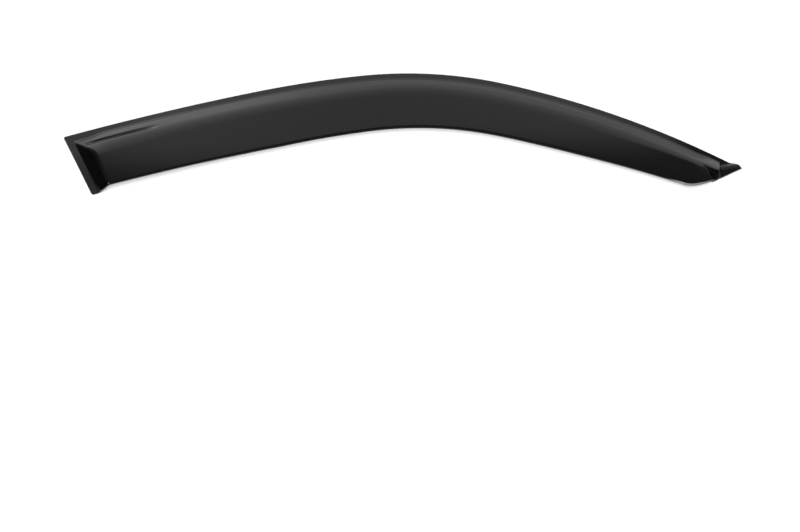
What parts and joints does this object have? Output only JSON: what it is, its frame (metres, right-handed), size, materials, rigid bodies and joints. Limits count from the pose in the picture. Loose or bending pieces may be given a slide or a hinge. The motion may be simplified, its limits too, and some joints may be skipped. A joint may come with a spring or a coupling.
{
  "type": "window rain deflector",
  "caption": "Long curved smoked visor that sticks over the top of a car's front door window, raised off the glass, with a narrow taped flange and a pointed front tip.",
  "frame": {"origin": "centre of the bounding box in X and Y, on the lowest face, which is the back of the release liners", "axes": "+X along the visor from its rear end to its pointed front tip, +Y up the door, +Z outward from the glass; the visor lies on its back"},
  "size_m": [0.9592, 0.1796, 0.0303],
  "materials": {
    "smoked_acrylic": "polished, very dark smoke tint",
    "foam_tape": "matt closed-cell foam",
    "liner_film": "satin red release film"
  },
  "bodies": {
    "root": {"shield": "smoked_acrylic", "rear_end_tape": "foam_tape", "top_rear_tape": "foam_tape", "crown_tape": "foam_tape", "front_tape": "foam_tape", "tip_tape": "foam_tape", "rear_end_liner": "liner_film", "top_rear_liner": "liner_film", "crown_liner": "liner_film", "front_liner": "liner_film", "tip_liner": "liner_film"}
  },
  "joints": []
}
